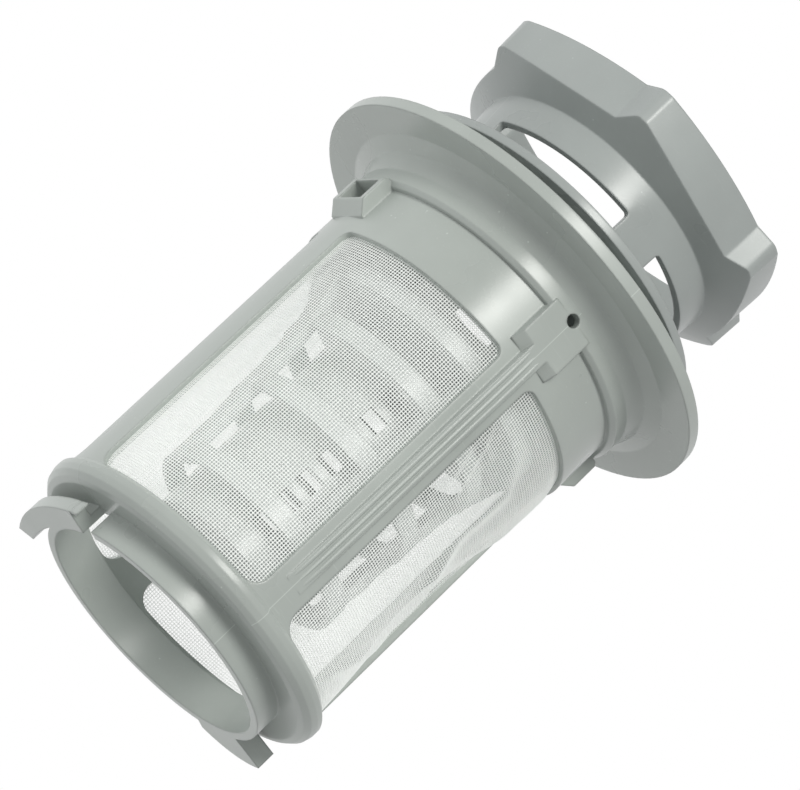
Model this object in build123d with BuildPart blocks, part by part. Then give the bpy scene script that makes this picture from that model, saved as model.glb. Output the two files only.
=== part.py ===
"""Dishwasher microfilter: a mesh-walled filter cylinder with a lift-out coarse filter.

The filter stands upright on its bottom spigot: Z is its axis, the origin lies on the
axis at the bottom, and -Y is the side with the plain strut and its round hole.
All sizes are in millimetres.
"""
from build123d import *

import os
from math import cos, degrees, radians, sin, tan

# Filter cylinder: heights above the bottom of the spigot
spigot_height = 5.4
shoulder_thickness = 2.6
sill_height = 10.2
window_height = 64.6
lintel_height = 12.0
neck_height = 8.4
flange_thickness = 2.5

# Filter cylinder: radii and walls
body_radius = 32.9
body_wall = 2.0
spigot_radius = 26.6
spigot_wall = 1.8
ring_bulge = 1.0
ring_rounding = 2.6
ring_corner_flats = 3
neck_step = 1.7
neck_wall = 2.0
flange_radius = 46.0
flange_cove = 4.6

# Filter cylinder: struts and windows
strut_count = 4
plain_strut_angle = 14.6
clip_strut_angle = 18.0
window_top_rounding = 2.0
window_bottom_rounding = 3.6

# Plain struts: raised tongue with a round hole, and the rib below it
tongue_width = 10.6
tongue_drop = 9.4
tongue_ramp = 2.2
tongue_hole_diameter = 2.7
tongue_hole_lift = 1.6
rib_width = 4.2
rib_foot_lift = 6.0

# Clip struts: raised frame round the clip window, with a ramped catch below it
clip_frame_width = 12.2
clip_window_width = 9.3
clip_window_height = 5.0
clip_window_drop = 0.5
catch_lip = 0.3
catch_ramp = 2.4
catch_reach = 0.7
catch_rounding = 0.5

# Bayonet finger, stop and slot of the spigot
finger_height = 3.0
finger_width = 3.9
finger_lift = 5.2
finger_bow_height = 0.6
finger_root_angle = 197.0
finger_bend_angle = 159.5
finger_tip_angle = 130.0
stop_height = 4.0
stop_front_width = 7.4
stop_middle_width = 5.9
stop_back_width = 2.2
stop_front_angle = 1.0
stop_back_angle = 28.0
slot_angle = -164.0
slot_width = 4.0

# Filter mesh: sleeve lining the windows, with coarse gaps between its threads
mesh_thickness = 0.4
mesh_lap = 1.4
mesh_columns = 4
mesh_rows = 4
mesh_bar = 2.2

# Coarse filter: foot ring, collar with its windows, and posts
seat_clearance = 0.2
foot_height = 5.2
foot_overlap = 1.0
foot_ring_reach = 3.2
foot_ring_thickness = 1.8
collar_height = 16.7
collar_inset = 5.2
collar_flare = 1.0
collar_wall = 1.6
collar_window_lift = 3.4
collar_window_height = 4.9
collar_window_rounding = 0.8
post_count = 4
post_angle = 20.0
post_wall = 1.8

# Coarse filter: six-lobed grip
lobe_count = 6
grip_height = 11.7
grip_overhang = 5.0
grip_draft = 3.0
grip_wall = 1.8
flare_angle = 27.0
lobe_reach = 3.3
lobe_phase = -119.5
lobe_crest_angle = 3.0
lobe_rise_angle = 6.0
crest_rounding = 1.4
valley_rounding = 0.6

# Coarse filter: tube with rows of holes, and the bands with their stays and fins
tube_inset = 14.8
tube_wall = 1.4
tube_bottom = 17.5
hole_columns = 4
hole_rows = 8
hole_phase = -20.0
hole_width = 4.4
hole_height = 3.3
hole_pitch = 5.6
lowest_hole = 25.1
low_band_base = 24.4
middle_band_base = 43.1
high_band_base = 58.8
top_band_base = 69.0
low_band_inset = 9.5
middle_band_inset = 8.7
high_band_inset = 7.3
top_band_inset = 4.3
band_height = 4.2
band_wall = 1.3
web_thickness = 1.2
fin_thickness = 1.6
stay_width = 5.0
stay_depth = 2.2

# Cutters of slots, gaps and windows reach this far to either side of their wall
cutter_reach = 3.5

# Levels and radii that follow from the sizes above
lintel_base = sill_height + window_height
neck_base = lintel_base + lintel_height
flange_base = neck_base + neck_height
flange_top = flange_base + flange_thickness
body_inner = body_radius - body_wall
spigot_inner = spigot_radius - spigot_wall
neck_radius = body_radius + neck_step
neck_inner = neck_radius - neck_wall
ring_radius = body_radius + ring_bulge
ring_corner = []
for step in range(ring_corner_flats + 1):
    turn = radians(90 * step / ring_corner_flats)
    ring_corner.append((
        ring_radius - ring_rounding * (1 - sin(turn)),
        spigot_height + ring_rounding * (1 - cos(turn)),
    ))
cove_sag = flange_cove * (1 - cos(radians(45)))
floor_level = spigot_height + shoulder_thickness
clip_window_top = neck_base - clip_window_drop
clip_window_base = clip_window_top - clip_window_height
catch_top = clip_window_base - catch_lip
catch_base = catch_top - catch_ramp
catch_radius = neck_radius + catch_reach
tongue_base = neck_base - tongue_drop
wall_middle = body_inner + body_wall / 2
foot_base = flange_top + seat_clearance
foot_ring_base = foot_base + foot_height
foot_ring_top = foot_ring_base + foot_ring_thickness
collar_top = foot_ring_base + collar_height
grip_top = collar_top + grip_height
foot_radius = neck_inner + foot_overlap
foot_ring_radius = foot_radius + foot_ring_reach
collar_base_radius = neck_inner - collar_inset
collar_top_radius = collar_base_radius + collar_flare
grip_radius = collar_top_radius + grip_overhang
tube_radius = body_inner - tube_inset
band_insets = (low_band_inset, middle_band_inset, high_band_inset, top_band_inset)
band_radii = [body_inner - inset for inset in band_insets]
band_bases = (low_band_base, middle_band_base, high_band_base, top_band_base)
band_tops = [base + band_height for base in band_bases]

os.makedirs("parts", exist_ok=True)


def polar(radius, angle):
    """Point on the XY plane at a radius and an angle in degrees."""
    return Vector(radius, 0, 0).rotate(Axis.Z, angle)


# Cutter for one window of the cylinder, with radial sides and rounded corners
window_angle = 360 / strut_count - (plain_strut_angle + clip_strut_angle) / 2
with BuildPart() as window_cutter:
    with BuildSketch(Plane.XZ):
        with Locations(((body_inner + body_radius) / 2, sill_height + window_height / 2)):
            Rectangle(body_wall * 3, window_height)
    revolve(axis=Axis.Z, revolution_arc=window_angle)
    radial_edges = window_cutter.edges().filter_by(GeomType.LINE).filter_by(Axis.Z, reverse=True)
    fillet(radial_edges.group_by(Axis.Z)[0], radius=window_bottom_rounding)
    radial_edges = window_cutter.edges().filter_by(GeomType.LINE).filter_by(Axis.Z, reverse=True)
    fillet(radial_edges.group_by(Axis.Z)[-1], radius=window_top_rounding)

# Outline of the bayonet finger, a band that curls away from the spigot
finger_root_radius = spigot_radius - spigot_wall / 2
finger_tip_radius = spigot_radius + finger_lift
with BuildSketch() as finger_outline:
    with BuildLine():
        inner_arc = ThreePointArc(
            polar(finger_root_radius, finger_root_angle),
            polar(finger_root_radius + finger_bow_height, finger_bend_angle),
            polar(finger_tip_radius, finger_tip_angle),
        )
        outer_arc = ThreePointArc(
            polar(spigot_radius + finger_width, finger_root_angle),
            polar(spigot_radius + finger_width + finger_bow_height, finger_bend_angle),
            polar(finger_tip_radius + finger_width, finger_tip_angle),
        )
        Line(inner_arc @ 0, outer_arc @ 0)
        Line(inner_arc @ 1, outer_arc @ 1)
    make_face()

# Filter cylinder: one moulding with flange, neck, struts, ring and spigot
with BuildPart() as filter_frame:
    with BuildSketch(Plane.XZ):
        with BuildLine():
            Polyline(
                (spigot_inner, 0),
                (spigot_radius, 0),
                (spigot_radius, spigot_height),
                *ring_corner,
                (ring_radius, sill_height - ring_bulge),
                (body_radius, sill_height),
                (body_radius, neck_base),
                (neck_radius, neck_base),
                (neck_radius, flange_base - flange_cove),
                (neck_radius + cove_sag, flange_base - cove_sag),
                (neck_radius + flange_cove, flange_base),
                (flange_radius, flange_base),
                (flange_radius, flange_top),
                (neck_inner, flange_top),
                (neck_inner, neck_base),
                (body_inner, neck_base - neck_step),
                (body_inner, floor_level),
                (spigot_inner, floor_level),
                close=True,
            )
        make_face()
    revolve(axis=Axis.Z)
    neck_step_edge = filter_frame.edges().filter_by(GeomType.CIRCLE).sort_by(
        lambda edge: abs(edge.center().Z - neck_base) + abs(edge.radius - neck_radius)
    )[0]
    chamfer(neck_step_edge, length=neck_step / 2)
    with PolarLocations(0, 2):
        add(window_cutter.part, rotation=(0, 0, clip_strut_angle / 2), mode=Mode.SUBTRACT)
    with PolarLocations(0, 2, start_angle=90):
        add(window_cutter.part, rotation=(0, 0, plain_strut_angle / 2), mode=Mode.SUBTRACT)
    # Raised tongues of the plain struts with a ramp at the lower end, and the rib below
    for side in (-1, 1):
        with BuildSketch(Plane.YZ):
            with BuildLine():
                Polyline(
                    (side * wall_middle, neck_base + neck_step),
                    (side * neck_radius, neck_base + neck_step),
                    (side * neck_radius, tongue_base + tongue_ramp),
                    (side * body_radius, tongue_base),
                    (side * wall_middle, tongue_base),
                    close=True,
                )
            make_face()
        extrude(amount=tongue_width / 2, both=True)
        with BuildSketch(Plane.YZ):
            with BuildLine():
                Polyline(
                    (side * wall_middle, sill_height + rib_foot_lift),
                    (side * body_radius, sill_height + rib_foot_lift),
                    (side * neck_radius, tongue_base + tongue_ramp),
                    (side * wall_middle, tongue_base + tongue_ramp),
                    close=True,
                )
            make_face()
        extrude(amount=rib_width / 2, both=True)
    with Locations((0, 0, neck_base + tongue_hole_lift)):
        Cylinder(
            radius=tongue_hole_diameter / 2,
            height=2 * neck_radius + neck_wall,
            rotation=(90, 0, 0),
            mode=Mode.SUBTRACT,
        )
    # Clip frames of the two other struts, each with a ramped catch below its window
    for side in (-1, 1):
        with BuildSketch(Plane.XZ):
            with BuildLine():
                Polyline(
                    (side * wall_middle, catch_base),
                    (side * (catch_radius - catch_ramp), catch_base),
                    (side * catch_radius, catch_top),
                    (side * catch_radius, neck_base),
                    (side * neck_radius, neck_base + catch_reach),
                    (side * wall_middle, neck_base + catch_reach),
                    close=True,
                )
            make_face()
            ramp_corners = vertices().filter_by(lambda vertex: abs(vertex.Y - catch_top) < catch_lip)
            fillet(ramp_corners, radius=catch_rounding)
        extrude(amount=clip_frame_width / 2, both=True)
    with Locations((0, 0, (clip_window_base + clip_window_top) / 2)):
        Box(2 * catch_radius + catch_reach, clip_window_width, clip_window_height, mode=Mode.SUBTRACT)
    # The inside of the cylinder is kept round and clear
    with Locations((0, 0, floor_level)):
        Cylinder(
            radius=body_inner,
            height=neck_base - neck_step - floor_level,
            align=(Align.CENTER, Align.CENTER, Align.MIN),
            mode=Mode.SUBTRACT,
        )
    # Bayonet finger, stop and slot of the spigot
    add(finger_outline.sketch)
    extrude(amount=finger_height)
    with BuildSketch():
        with BuildLine():
            stop_middle_angle = (stop_front_angle + stop_back_angle) / 2
            stop_inner = ThreePointArc(
                polar(finger_root_radius, stop_front_angle),
                polar(finger_root_radius, stop_middle_angle),
                polar(finger_root_radius, stop_back_angle),
            )
            stop_outer = ThreePointArc(
                polar(spigot_radius + stop_front_width, stop_front_angle),
                polar(spigot_radius + stop_middle_width, stop_middle_angle),
                polar(spigot_radius + stop_back_width, stop_back_angle),
            )
            Line(stop_inner @ 0, stop_outer @ 0)
            Line(stop_outer @ 1, stop_inner @ 1)
        make_face()
    extrude(amount=stop_height)
    with Locations(Location(polar(spigot_radius, slot_angle), (0, 0, slot_angle))):
        Box(2 * cutter_reach, slot_width, 2 * spigot_height, mode=Mode.SUBTRACT)

filter_frame.part.label = "filter_frame"
export_step(filter_frame.part, "parts/filter_frame.step")

# Filter mesh: a thin sleeve behind the windows, with a grid of gaps in each window
mesh_radius = body_inner - mesh_thickness
bar_angle = degrees(mesh_bar / body_inner)
gap_pitch_angle = window_angle / mesh_columns
gap_pitch_height = window_height / mesh_rows
with BuildPart() as gap_cutter:
    with BuildSketch(Plane.XZ):
        with Locations(((mesh_radius + body_inner) / 2, sill_height + gap_pitch_height / 2)):
            Rectangle(2 * cutter_reach, gap_pitch_height - mesh_bar)
    revolve(axis=Axis.Z, revolution_arc=gap_pitch_angle - bar_angle)

with BuildPart() as filter_mesh:
    with BuildSketch(Plane.XY.offset(sill_height - mesh_lap)):
        Circle(body_inner)
        Circle(mesh_radius, mode=Mode.SUBTRACT)
    extrude(amount=window_height + 2 * mesh_lap)
    for strut in range(strut_count):
        strut_angle = clip_strut_angle if strut % 2 == 0 else plain_strut_angle
        window_start = strut * 360 / strut_count + strut_angle / 2
        for column in range(mesh_columns):
            gap_start = window_start + column * gap_pitch_angle + bar_angle / 2
            with Locations(*[(0, 0, row * gap_pitch_height) for row in range(mesh_rows)]):
                add(gap_cutter.part, rotation=(0, 0, gap_start), mode=Mode.SUBTRACT)

filter_mesh.part.label = "filter_mesh"
export_step(filter_mesh.part, "parts/filter_mesh.step")

# Outline of the grip: an arc between lobes that are steep on one side and long on the other
crest_radius = grip_radius + lobe_reach
lobe_pitch = 360 / lobe_count
with BuildSketch() as grip_outline:
    with BuildLine():
        for lobe in range(lobe_count):
            crest = lobe_phase + lobe * lobe_pitch
            crest_start = crest - lobe_crest_angle / 2
            crest_end = crest + lobe_crest_angle / 2
            valley = crest_start + lobe_pitch - lobe_rise_angle
            Line(polar(crest_radius, crest_start), polar(crest_radius, crest_end))
            ThreePointArc(
                polar(crest_radius, crest_end),
                polar(grip_radius, (crest_end + valley) / 2),
                polar(grip_radius, valley),
            )
            Line(polar(grip_radius, valley), polar(crest_radius, crest_start + lobe_pitch))
    make_face()
    crests = grip_outline.vertices().filter_by(
        lambda vertex: Vector(vertex).length > grip_radius + lobe_reach / 2
    )
    fillet(crests, radius=crest_rounding)
    valleys = grip_outline.vertices().group_by(lambda vertex: round(Vector(vertex).length, 2))[0]
    fillet(valleys, radius=valley_rounding)
with BuildSketch() as grip_bore:
    add(grip_outline.sketch)
    offset(amount=-grip_wall, mode=Mode.REPLACE)

# One collar post with its foot on the flange, as a sector about the axis
with BuildPart() as post:
    with BuildSketch(Plane.XZ):
        with BuildLine():
            Polyline(
                (band_radii[-1] - post_wall, band_bases[-1] + band_height / 2),
                (band_radii[-1], band_bases[-1] + band_height / 2),
                (collar_base_radius, foot_base),
                (foot_radius, foot_base),
                (foot_radius, foot_ring_top),
                (collar_base_radius - collar_wall, foot_ring_top),
                (collar_base_radius - post_wall, foot_base),
                close=True,
            )
        make_face()
    revolve(axis=Axis.Z, revolution_arc=post_angle)

# One outer stay that ties the bands together
with BuildPart() as stay:
    with BuildSketch(Plane.XZ):
        with BuildLine():
            outer_points = [(radius, base) for radius, base in zip(band_radii, band_bases)]
            inner_points = [(radius - stay_depth, base) for radius, base in outer_points]
            Polyline(*outer_points, *reversed(inner_points), close=True)
        make_face()
    extrude(amount=stay_width / 2, both=True)

# One fin between the tube and the bands
with BuildPart() as fin:
    with BuildSketch(Plane.XZ):
        with BuildLine():
            fin_inner = tube_radius - tube_wall / 2
            Polyline(*outer_points, (fin_inner, band_bases[-1]), (fin_inner, band_bases[0]), close=True)
        make_face()
    extrude(amount=fin_thickness / 2, both=True)

# Cutter for one window of the collar
collar_window_angle = 360 / post_count - post_angle
with BuildPart() as collar_cutter:
    with BuildSketch(Plane.XZ):
        collar_window_middle = foot_ring_top + collar_window_lift + collar_window_height / 2
        with Locations((collar_base_radius, collar_window_middle)):
            Rectangle(2 * cutter_reach, collar_window_height)
    revolve(axis=Axis.Z, revolution_arc=collar_window_angle)
    fillet(collar_cutter.edges().filter_by(GeomType.LINE).filter_by(Axis.Z, reverse=True),
           radius=collar_window_rounding)

# One column of the tube's holes
with BuildPart() as hole_cutter:
    with Locations(*[(tube_radius, 0, lowest_hole + row * hole_pitch) for row in range(hole_rows)]):
        Box(2 * cutter_reach, hole_width, hole_height)

# Grip: a lobed prism cut to the cone of its flared underside, and its hollow
flare_slope = tan(radians(flare_angle))
flare_reach = crest_radius + grip_wall
bore_radius = collar_top_radius - collar_wall
with BuildPart() as grip_body:
    with BuildSketch(Plane.XY.offset(collar_top)):
        add(grip_outline.sketch)
    extrude(amount=grip_height, taper=-grip_draft)
    with BuildSketch(Plane.XZ):
        with BuildLine():
            Polyline(
                (0, collar_top),
                (collar_top_radius, collar_top),
                (flare_reach, collar_top + (flare_reach - collar_top_radius) * flare_slope),
                (flare_reach, grip_top),
                (0, grip_top),
                close=True,
            )
        make_face()
    revolve(axis=Axis.Z, mode=Mode.INTERSECT)
with BuildPart() as grip_hollow:
    with BuildSketch(Plane.XY.offset(collar_top)):
        add(grip_bore.sketch)
    extrude(amount=grip_height, taper=-grip_draft)
    with BuildSketch(Plane.XZ):
        with BuildLine():
            Polyline(
                (0, collar_top),
                (bore_radius, collar_top),
                (flare_reach, collar_top + (flare_reach - bore_radius) * flare_slope),
                (flare_reach, grip_top),
                (0, grip_top),
                close=True,
            )
        make_face()
    revolve(axis=Axis.Z, mode=Mode.INTERSECT)

# Coarse filter: one moulding with grip, collar, posts, bands and slotted tube
with BuildPart() as coarse_filter:
    add(grip_body.part)
    # Collar with its foot ring
    with BuildSketch(Plane.XZ):
        with BuildLine():
            Polyline(
                (collar_base_radius - collar_wall, foot_ring_base),
                (foot_ring_radius, foot_ring_base),
                (foot_ring_radius, foot_ring_top),
                (collar_base_radius, foot_ring_top),
                (collar_top_radius, collar_top),
                (bore_radius, collar_top),
                close=True,
            )
        make_face()
    revolve(axis=Axis.Z)
    add(grip_hollow.part, mode=Mode.SUBTRACT)
    with PolarLocations(0, post_count):
        add(collar_cutter.part, rotation=(0, 0, post_angle / 2), mode=Mode.SUBTRACT)
        add(post.part, rotation=(0, 0, -post_angle / 2))
    # Bands: open rings, and a web that closes the top one and carries the tube
    for base, top, radius in zip(band_bases, band_tops, band_radii):
        with BuildSketch(Plane.XZ):
            with Locations((radius - band_wall / 2, (base + top) / 2)):
                Rectangle(band_wall, top - base)
        revolve(axis=Axis.Z)
    with BuildSketch(Plane.XZ):
        with BuildLine():
            Polyline(
                (tube_radius - tube_wall, top_band_base),
                (band_radii[-1], top_band_base),
                (band_radii[-1], top_band_base + web_thickness),
                (tube_radius - tube_wall, top_band_base + web_thickness),
                close=True,
            )
        make_face()
    revolve(axis=Axis.Z)
    # Outer stays, and two fins from the tube to the bands
    with PolarLocations(0, post_count):
        add(stay.part)
    with PolarLocations(0, 2, start_angle=90):
        add(fin.part)
    # Tube with its closed bottom and rows of holes
    with BuildSketch(Plane.XZ):
        with BuildLine():
            Polyline(
                (0, tube_bottom),
                (tube_radius, tube_bottom),
                (tube_radius, band_bases[-1]),
                (tube_radius - tube_wall, band_bases[-1]),
                (tube_radius - tube_wall, tube_bottom + tube_wall),
                (0, tube_bottom + tube_wall),
                close=True,
            )
        make_face()
    revolve(axis=Axis.Z)
    with PolarLocations(0, hole_columns, start_angle=hole_phase):
        add(hole_cutter.part, mode=Mode.SUBTRACT)

coarse_filter.part.label = "coarse_filter"
export_step(coarse_filter.part, "parts/coarse_filter.step")
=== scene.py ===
import math

import bpy
from mathutils import Matrix, Vector


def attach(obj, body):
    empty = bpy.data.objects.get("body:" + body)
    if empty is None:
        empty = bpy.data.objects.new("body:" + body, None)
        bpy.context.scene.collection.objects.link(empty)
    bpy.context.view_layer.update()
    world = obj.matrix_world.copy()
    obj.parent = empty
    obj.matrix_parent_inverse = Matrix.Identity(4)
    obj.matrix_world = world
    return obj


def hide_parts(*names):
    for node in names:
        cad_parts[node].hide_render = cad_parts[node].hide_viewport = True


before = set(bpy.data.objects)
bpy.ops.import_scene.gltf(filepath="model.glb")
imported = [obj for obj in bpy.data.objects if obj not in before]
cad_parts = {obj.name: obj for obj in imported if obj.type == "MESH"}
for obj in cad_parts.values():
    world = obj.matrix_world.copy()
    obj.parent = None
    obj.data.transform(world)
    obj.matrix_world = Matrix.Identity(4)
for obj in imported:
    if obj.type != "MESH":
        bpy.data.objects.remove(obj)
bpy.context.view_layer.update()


# The filter frame is one moulding of grey plastic, probably polypropylene, with the flange,
# the struts and the spigot. It keeps its solid, and gets a satin surface with fine flow marks.
FRAME_COLOUR = (0.408, 0.441, 0.417)
PLASTIC_ROUGHNESS = (0.25, 0.37)
FLOW_SCALE = 45
FLOW_TONES = (0.93, 1.07)
SCUFF_SCALE = 70
SCUFF_STRETCH = 34
SCUFF_LAYS = ((0.7, 0.0), (-0.5, 3.0))
SCUFF_TONE = 1.5
SPECK_SCALE = 260
SPECK_TONE = 1.6
# The parting line is drawn lighter than the plastic: a painted highlight along the seam's ridge
PARTING_HIGHLIGHT_TONE = 1.55
PARTING_CORE = 0.00005
PARTING_EDGE = 0.00013
GRAIN_SCALE = 2200
GRAIN_DEPTH = 0.00005
EDGE_RADIUS = 0.0006
SHARP_ANGLE = 35


def new_material(name):
    material = bpy.data.materials.new(name)
    material.use_nodes = True
    nodes = material.node_tree.nodes
    return material, nodes, material.node_tree.links, nodes["Principled BSDF"]


def moulded_plastic(name, colour, seam_axis):
    material, nodes, links, shader = new_material(name)
    shader.inputs["Specular IOR Level"].default_value = 0.5
    place = nodes.new("ShaderNodeTexCoord")

    def shade(factor):
        return tuple(min(1, channel * factor) for channel in colour)

    def noise(source, scale, detail):
        node = nodes.new("ShaderNodeTexNoise")
        node.inputs["Scale"].default_value = scale
        node.inputs["Detail"].default_value = detail
        links.new(source, node.inputs["Vector"])
        return node.outputs["Fac"]

    def spread(source, low, high, start, end):
        node = nodes.new("ShaderNodeMapRange")
        limits = (("From Min", low), ("From Max", high), ("To Min", start), ("To Max", end))
        for socket, value in limits:
            node.inputs[socket].default_value = value
        links.new(source, node.inputs["Value"])
        return node.outputs["Result"]

    def blend(factor, below, above):
        node = nodes.new("ShaderNodeMix")
        node.data_type = "RGBA"
        links.new(factor, node.inputs["Factor"])
        for socket, value in (("A", below), ("B", above)):
            if isinstance(value, tuple):
                node.inputs[socket].default_value = (*value, 1)
            else:
                links.new(value, node.inputs[socket])
        return node.outputs["Result"]

    # Flow marks: slow changes of tone and gloss along the moulding
    flow = noise(place.outputs["Object"], FLOW_SCALE, 4)
    dark, light = FLOW_TONES
    tone = blend(spread(flow, 0.3, 0.7, 0, 1), shade(dark), shade(light))
    links.new(spread(flow, 0.35, 0.65, *PLASTIC_ROUGHNESS), shader.inputs["Roughness"])
    # Fine scuffs from handling, in two directions
    for turn, shift in SCUFF_LAYS:
        lay = nodes.new("ShaderNodeMapping")
        lay.inputs["Rotation"].default_value = (turn, 0.4, turn * 2)
        lay.inputs["Location"].default_value = (shift, 0, 0)
        lay.inputs["Scale"].default_value = (1, SCUFF_STRETCH, SCUFF_STRETCH)
        links.new(place.outputs["Object"], lay.inputs["Vector"])
        scuff = spread(noise(lay.outputs["Vector"], SCUFF_SCALE, 2), 0.67, 0.78, 0, 0.2)
        tone = blend(scuff, tone, shade(SCUFF_TONE))
    # Light specks in the surface
    speck = nodes.new("ShaderNodeTexVoronoi")
    speck.inputs["Scale"].default_value = SPECK_SCALE
    links.new(place.outputs["Object"], speck.inputs["Vector"])
    dot = spread(speck.outputs["Distance"], 0.03, 0.06, 0.5, 0)
    tone = blend(dot, tone, shade(SPECK_TONE))
    # Parting line of the mould, in a plane through the axis: a fine light line on the outward
    # faces.
    # The seam is real; its lighter tone is a painted highlight along the seam's ridge.
    sides = nodes.new("ShaderNodeSeparateXYZ")
    links.new(place.outputs["Object"], sides.inputs["Vector"])
    offset = nodes.new("ShaderNodeMath")
    offset.operation = "ABSOLUTE"
    links.new(sides.outputs[seam_axis], offset.inputs[0])
    outward = nodes.new("ShaderNodeVectorMath")
    outward.operation = "DOT_PRODUCT"
    links.new(place.outputs["Object"], outward.inputs[0])
    links.new(place.outputs["Normal"], outward.inputs[1])
    line = nodes.new("ShaderNodeMath")
    line.operation = "MULTIPLY"
    fine = spread(offset.outputs["Value"], PARTING_CORE, PARTING_EDGE, 0.5, 0)
    outside = spread(outward.outputs["Value"], 0.005, 0.012, 0, 1)
    links.new(fine, line.inputs[0])
    links.new(outside, line.inputs[1])
    tone = blend(line.outputs["Value"], tone, shade(PARTING_HIGHLIGHT_TONE))
    links.new(tone, shader.inputs["Base Color"])
    # Fine grain of the mould, and edges that catch the light
    bump = nodes.new("ShaderNodeBump")
    bump.inputs["Strength"].default_value = 0.15
    bump.inputs["Distance"].default_value = GRAIN_DEPTH
    links.new(noise(place.outputs["Object"], GRAIN_SCALE, 2), bump.inputs["Height"])
    edge = nodes.new("ShaderNodeBevel")
    edge.samples = 6
    edge.inputs["Radius"].default_value = EDGE_RADIUS
    links.new(edge.outputs["Normal"], bump.inputs["Normal"])
    links.new(bump.outputs["Normal"], shader.inputs["Normal"])
    return material


def dress(solid, material):
    solid.data.materials.clear()
    solid.data.materials.append(material)
    solid.data.shade_smooth()
    solid.data.set_sharp_from_angle(angle=math.radians(SHARP_ANGLE))


frame_plastic = moulded_plastic("frame_plastic", FRAME_COLOUR, "X")
dress(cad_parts["filter_frame"], frame_plastic)


# Three fine beads run down the rib of each plain strut. They are of the same plastic and
# moulded in one with the strut, which they stiffen, and they fade out at both ends.
MM = 0.001
BEAD_RADIUS = 0.55
BEAD_SHIFTS = (-1.3, 0, 1.3)
BEAD_SIDES = 8
BEAD_STEPS = 40
BEAD_SUNK = 0.18
END_SUNK = 0.5
RIB_FOOT = Vector((0, 32.9, 16.2))
RIB_HEAD = Vector((0, 34.6, 79.4))


def add_object(name, data):
    thing = bpy.data.objects.new(name, data)
    bpy.context.scene.collection.objects.link(thing)
    return thing


for side in (-1, 1):
    verts, faces = [], []
    for shift in BEAD_SHIFTS:
        first = len(verts)
        for step in range(BEAD_STEPS + 1):
            along = step / BEAD_STEPS
            spot = RIB_FOOT.lerp(RIB_HEAD, along)
            sunk = BEAD_SUNK + END_SUNK * (2 * abs(along - 0.5)) ** 8
            for turn in range(BEAD_SIDES + 1):
                angle = turn * math.pi / BEAD_SIDES
                across = shift + BEAD_RADIUS * math.cos(angle)
                out = spot.y - sunk + BEAD_RADIUS * math.sin(angle)
                verts.append(Vector((across, side * out, spot.z)) * MM)
        for step in range(BEAD_STEPS):
            for turn in range(BEAD_SIDES):
                corner = first + step * (BEAD_SIDES + 1) + turn
                face = (corner, corner + 1, corner + BEAD_SIDES + 2, corner + BEAD_SIDES + 1)
                faces.append(face if side > 0 else face[::-1])
    data = bpy.data.meshes.new("strut_beads")
    data.from_pydata(verts, [], faces)
    data.materials.append(frame_plastic)
    data.shade_smooth()
    beads = add_object("beads_front" if side < 0 else "beads_back", data)
    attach(beads, "filter_cylinder")


# The filter mesh is a fine woven cloth of plastic thread, probably polyester, fixed in the
# struts and rims of the frame. It is tight in three windows and slack to the right of the front.
CLOTH_COLOUR = (0.97, 0.98, 0.97, 1)
CLOTH_GLOW = (0.98, 0.99, 0.98, 1)
GLOW_SHARE = 0.58
THREAD_PITCH = 0.56
THREAD_WIDTH = 0.24
CLOTH_RADIUS = 31.8
CLOTH_BASE = 9.8
CLOTH_TOP = 75.2
TIGHT_DIP = 0.15
TIGHT_STEPS = 40
SLACK_STEPS = 110
HELD_ACROSS = 0.06
HELD_UP = 0.05
CREASE_SCALE_ACROSS = 42
CREASE_SCALE_UP = 65
# Each crease: its two ends as shares of the panel's width and height, height and width in mm
CREASES = (
    ((0.064, 0.566), (0.028, 0.78), 0.5, 0.8),
    ((0.10, 0.60), (0.05, 0.72), 0.4, 0.7),
    ((0.167, 0.638), (0.03, 0.84), 0.6, 0.8),
    ((0.042, 0.79), (0.156, 0.784), 0.45, 0.8),
    ((0.20, 0.88), (0.39, 0.78), 0.5, 2.4),
    ((0.39, 0.78), (0.38, 0.60), 0.8, 2.4),
    ((0.38, 0.60), (0.65, 0.36), 0.9, 2.2),
    ((0.62, 0.62), (0.80, 0.80), 0.5, 1.6),
    ((0.45, 0.08), (0.70, 0.30), 0.5, 1.8),
)


def cloth_material():
    material, nodes, links, shader = new_material("mesh_cloth")
    shader.inputs["Base Color"].default_value = CLOTH_COLOUR
    shader.inputs["Roughness"].default_value = 0.45
    glow = nodes.new("ShaderNodeBsdfTranslucent")
    glow.inputs["Color"].default_value = CLOTH_GLOW
    mix = nodes.new("ShaderNodeMixShader")
    mix.inputs["Fac"].default_value = GLOW_SHARE
    links.new(shader.outputs["BSDF"], mix.inputs[1])
    links.new(glow.outputs["BSDF"], mix.inputs[2])
    links.new(mix.outputs["Shader"], nodes["Material Output"].inputs["Surface"])
    return material


def tight(across, up):
    return -TIGHT_DIP * math.sin(math.pi * across) * math.sin(math.pi * up)


def hump(value, middle, width):
    return math.exp(-((value - middle) / width) ** 2)


def crease(across, up, start, end, width):
    run = (end[0] - start[0], end[1] - start[1])
    reach = (across - start[0]) * run[0] + (up - start[1]) * run[1]
    along = min(max(reach / (run[0] ** 2 + run[1] ** 2), 0), 1)
    gap = math.hypot(
        (across - start[0] - run[0] * along) * CREASE_SCALE_ACROSS,
        (up - start[1] - run[1] * along) * CREASE_SCALE_UP,
    )
    return math.exp(-(gap / width) ** 2) * math.sin(math.pi * (0.15 + 0.7 * along))


def slack(across, up):
    inward_across = min(across, 1 - across) / HELD_ACROSS
    inward_up = min(up, 1 - up) / HELD_UP
    held = min(1, inward_across, inward_up)
    belly = 0.8 * hump(across, 0.85, 0.3) * hump(up, 0.88, 0.22)
    deep_fold = 3.0 * hump(across, 0.86, 0.2) * hump(up, 0.45, 0.24)
    wide_fold = 0.9 * hump(across, 0.4, 0.3) * hump(up, 0.5, 0.4)
    sharp = sum(
        height * crease(across, up, start, end, width)
        for start, end, height, width in CREASES
    )
    return held * (belly - (deep_fold + wide_fold)) + min(1, held * 3) * sharp


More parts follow.
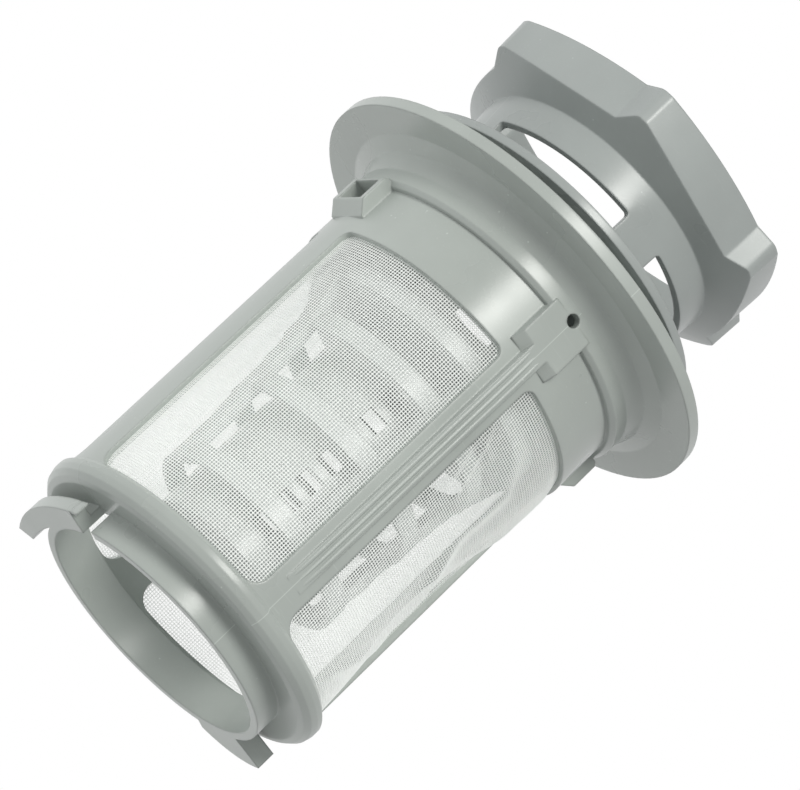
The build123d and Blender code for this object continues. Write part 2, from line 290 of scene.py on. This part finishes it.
def woven_panel(name, start, end, sag, steps):
    verts, faces = [], []
    width = math.radians(end - start) * CLOTH_RADIUS
    height = CLOTH_TOP - CLOTH_BASE
    columns = round(width / THREAD_PITCH)
    rows = round(height / THREAD_PITCH)

    def point(across, up):
        angle = math.radians(start + (end - start) * across)
        radius = CLOTH_RADIUS + sag(across, up)
        rise = CLOTH_BASE + height * up
        return Vector((radius * math.cos(angle), radius * math.sin(angle), rise)) * MM

    # A thread is an open strip of two faces that meet in a low ridge
    def thread(points, side):
        first = len(verts)
        half = THREAD_WIDTH / 2 * MM
        for spot in points:
            outward = Vector((spot.x, spot.y, 0)).normalized()
            across = Vector((0, 0, 1)) if side == "weft" else Vector((-outward.y, outward.x, 0))
            verts.extend((spot - across * half, spot + outward * half, spot + across * half))
        for step in range(len(points) - 1):
            for a in (first + step * 3, first + step * 3 + 1):
                weft = (a, a + 1, a + 4, a + 3)
                warp = (a, a + 3, a + 4, a + 1)
                faces.append(weft if side == "weft" else warp)

    for column in range(columns + 1):
        thread([point(column / columns, step / steps) for step in range(steps + 1)], "warp")
    for row in range(rows + 1):
        thread([point(step / steps, row / rows) for step in range(steps + 1)], "weft")
    data = bpy.data.meshes.new(name)
    data.from_pydata(verts, [], faces)
    data.materials.append(mesh_cloth)
    panel = add_object(name, data)
    panel.visible_shadow = False
    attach(panel, "filter_cylinder")
    return panel


mesh_cloth = cloth_material()
panels = [
    woven_panel("mesh_front_right", -83, -8, slack, SLACK_STEPS),
    woven_panel("mesh_back_right", 8, 83, tight, TIGHT_STEPS),
    woven_panel("mesh_back_left", 97, 172, tight, TIGHT_STEPS),
    woven_panel("mesh_front_left", 188, 263, tight, TIGHT_STEPS),
]
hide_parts("filter_mesh")


# The coarse filter is the second moulding: grip, collar, posts and slotted basket, in a
# slightly darker grey of the same plastic. It drops into the frame and stands on its flange.
INSERT_COLOUR = (0.35, 0.376, 0.368)
insert_plastic = moulded_plastic("insert_plastic", INSERT_COLOUR, "Y")
dress(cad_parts["coarse_filter"], insert_plastic)


# The studio has a pale floor that shows only from above, a white surround that the camera
# sees, a sky that is brighter at the back left, and one soft lamp.
FLOOR_HALF = 1.5
FLOOR_LEVEL = -0.0005
FLOOR_COLOUR = (0.86, 0.86, 0.85, 1)
SKY_COLOUR = (0.985, 0.995, 0.99, 1)
SKY_HEADING = (-0.704, 0.704, 0.1)
SKY_LOW = 0.43
SKY_HIGH = 1.3
LAMP_PLACE = Vector((-0.31, -1.09, 0.47))
LAMP_TARGET = Vector((0, 0, 0.07))
LAMP_SIZE = 0.4
LAMP_POWER = 7.6
LAMP_COLOUR = (1, 1, 0.965)


def floor_material():
    material, nodes, links, shader = new_material("studio_floor")
    shader.inputs["Base Color"].default_value = FLOOR_COLOUR
    shader.inputs["Roughness"].default_value = 0.9
    side = nodes.new("ShaderNodeNewGeometry")
    clear = nodes.new("ShaderNodeBsdfTransparent")
    mix = nodes.new("ShaderNodeMixShader")
    links.new(side.outputs["Backfacing"], mix.inputs["Fac"])
    links.new(shader.outputs["BSDF"], mix.inputs[1])
    links.new(clear.outputs["BSDF"], mix.inputs[2])
    links.new(mix.outputs["Shader"], nodes["Material Output"].inputs["Surface"])
    return material


floor_data = bpy.data.meshes.new("studio_floor")
corners = ((-1, -1), (1, -1), (1, 1), (-1, 1))
floor_data.from_pydata(
    [(x * FLOOR_HALF, y * FLOOR_HALF, FLOOR_LEVEL) for x, y in corners], [], [(0, 1, 2, 3)])
floor_data.materials.append(floor_material())
floor = add_object("studio_floor", floor_data)
floor.visible_shadow = False
floor.visible_diffuse = False
floor.visible_glossy = False
floor.visible_transmission = False

world = bpy.data.worlds.new("studio")
bpy.context.scene.world = world
world.use_nodes = True
nodes, links = world.node_tree.nodes, world.node_tree.links
ambient = nodes["Background"]
ambient.inputs["Color"].default_value = SKY_COLOUR
heading = nodes.new("ShaderNodeTexCoord")
slope = nodes.new("ShaderNodeVectorMath")
slope.operation = "DOT_PRODUCT"
slope.inputs[1].default_value = SKY_HEADING
links.new(heading.outputs["Generated"], slope.inputs[0])
level = nodes.new("ShaderNodeMapRange")
level.inputs["To Min"].default_value = SKY_LOW
level.inputs["To Max"].default_value = SKY_HIGH
links.new(slope.outputs["Value"], level.inputs["Value"])
links.new(level.outputs["Result"], ambient.inputs["Strength"])
backdrop = nodes.new("ShaderNodeBackground")
backdrop.inputs["Color"].default_value = (1, 1, 1, 1)
path = nodes.new("ShaderNodeLightPath")
seen = path.outputs["Is Camera Ray"]
for ray in ("Is Glossy Ray", "Is Transmission Ray"):
    either = nodes.new("ShaderNodeMath")
    either.operation = "MAXIMUM"
    links.new(seen, either.inputs[0])
    links.new(path.outputs[ray], either.inputs[1])
    seen = either.outputs["Value"]
choice = nodes.new("ShaderNodeMixShader")
links.new(seen, choice.inputs["Fac"])
links.new(ambient.outputs["Background"], choice.inputs[1])
links.new(backdrop.outputs["Background"], choice.inputs[2])
links.new(choice.outputs["Shader"], nodes["World Output"].inputs["Surface"])

lamp_data = bpy.data.lights.new("key_lamp", "AREA")
lamp_data.shape = "DISK"
lamp_data.size = LAMP_SIZE
lamp_data.energy = LAMP_POWER
lamp_data.color = LAMP_COLOUR
lamp = add_object("key_lamp", lamp_data)
lamp.location = LAMP_PLACE
lamp.rotation_mode = "QUATERNION"
lamp.rotation_quaternion = (LAMP_TARGET - LAMP_PLACE).to_track_quat("-Z", "Y")


# The camera stands at the photograph's angle: it looks up at the underside of the flange,
# and is rolled about its own axis.
camera_data = bpy.data.cameras.new("camera")
camera_data.sensor_width = 36
camera_data.lens = 180
camera_data.clip_start = 0.05
camera = add_object("camera", camera_data)
camera.matrix_world = Matrix((
    (0.5650, -0.7595, -0.3223, -0.24095),
    (-0.4635, 0.0309, -0.8856, -0.66175),
    (0.6825, 0.6498, -0.3346, -0.184),
    (0, 0, 0, 1),
))
bpy.context.scene.camera = camera
bpy.context.scene.view_settings.view_transform = "Standard"
